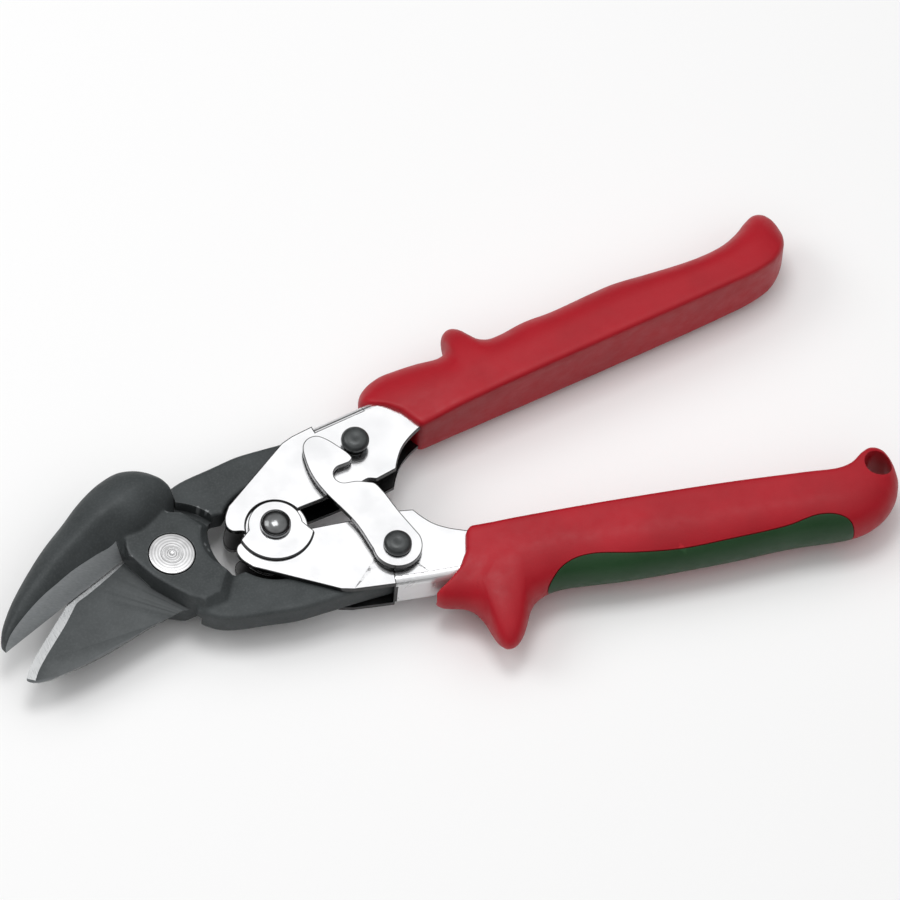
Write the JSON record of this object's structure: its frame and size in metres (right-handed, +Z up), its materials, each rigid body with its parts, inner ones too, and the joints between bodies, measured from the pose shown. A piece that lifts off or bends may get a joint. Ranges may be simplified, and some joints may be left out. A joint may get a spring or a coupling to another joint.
{
  "type": "aviation snips",
  "caption": "Compound-action aviation snips with a raised nose jaw, folded sheet handles, a hooked latch and two-colour moulded grips.",
  "frame": {"origin": "centre of the main pivot bolt's far end face, one of the faces that the tool rests on when it lies flat", "axes": "+X along the tool's centre line from the jaws to the handles, +Z up along the main pivot's axis, +Y towards the handle with the thumb stop"},
  "size_m": [0.2579, 0.1103, 0.0265],
  "materials": {
    "forged_steel": "black oxide on forged steel, with ground and lacquered cutting faces",
    "blackened_hardware": "black oxide, smooth",
    "turned_steel": "bare turned steel with concentric tool marks",
    "handle_sheet": "bright nickel-plated pressed sheet",
    "spring_wire": "drawn spring wire",
    "grip_red": "moulded vinyl, satin with a fine grain",
    "grip_green": "softer moulded inlay, satin with a fine grain"
  },
  "bodies": {
    "lower_handle": {"lower_handle_channel": "handle_sheet", "lower_grip": "grip_red", "lower_grip_inlay": "grip_green", "lower_link_rivet": "blackened_hardware", "handle_pivot_rivet": "blackened_hardware", "handle_pivot_sleeve": "turned_steel", "opening_spring": "spring_wire", "latch_washer": "turned_steel"},
    "upper_handle": {"upper_handle_channel": "handle_sheet", "upper_link_rivet": "blackened_hardware", "upper_grip": "grip_red"},
    "nose": {"nose_blade": "forged_steel", "pivot_bolt": "turned_steel", "pivot_washer": "blackened_hardware", "pivot_nut": "blackened_hardware"},
    "lower_jaw": {"lower_blade": "forged_steel"},
    "latch_hook": {"latch": "handle_sheet"}
  },
  "joints": [
    {"name": "handle_hinge", "type": "hinge", "parent": "lower_handle", "child": "upper_handle", "pos_m": [0.0309, 0, 0.0119], "axis": [0, 0, -1], "range_deg": [0, 19], "stiffness_Nm_per_rad": 1.5, "springref_deg": -28.65, "deforming": ["opening_spring"]},
    {"name": "nose_hinge", "type": "hinge", "parent": "lower_handle", "child": "nose", "pos_m": [0.0609, -0.0176, 0.0119], "axis": [0, 0, -1], "range_deg": [0, 4.7]},
    {"name": "lower_jaw_hinge", "type": "hinge", "parent": "nose", "child": "lower_jaw", "pos_m": [0, 0, 0.0119], "axis": [0, 0, -1], "range_deg": [0, 9.7]},
    {"name": "latch_hinge", "type": "hinge", "parent": "lower_handle", "child": "latch_hook", "pos_m": [0.0609, -0.0176, 0.0119], "axis": [0, 0, 1], "range_deg": [-2.5, 20]}
  ],
  "couplings": [
    {"joint": "nose_hinge", "follows": "handle_hinge", "ratio": 0.2457},
    {"joint": "lower_jaw_hinge", "follows": "handle_hinge", "ratio": 0.5087}
  ]
}
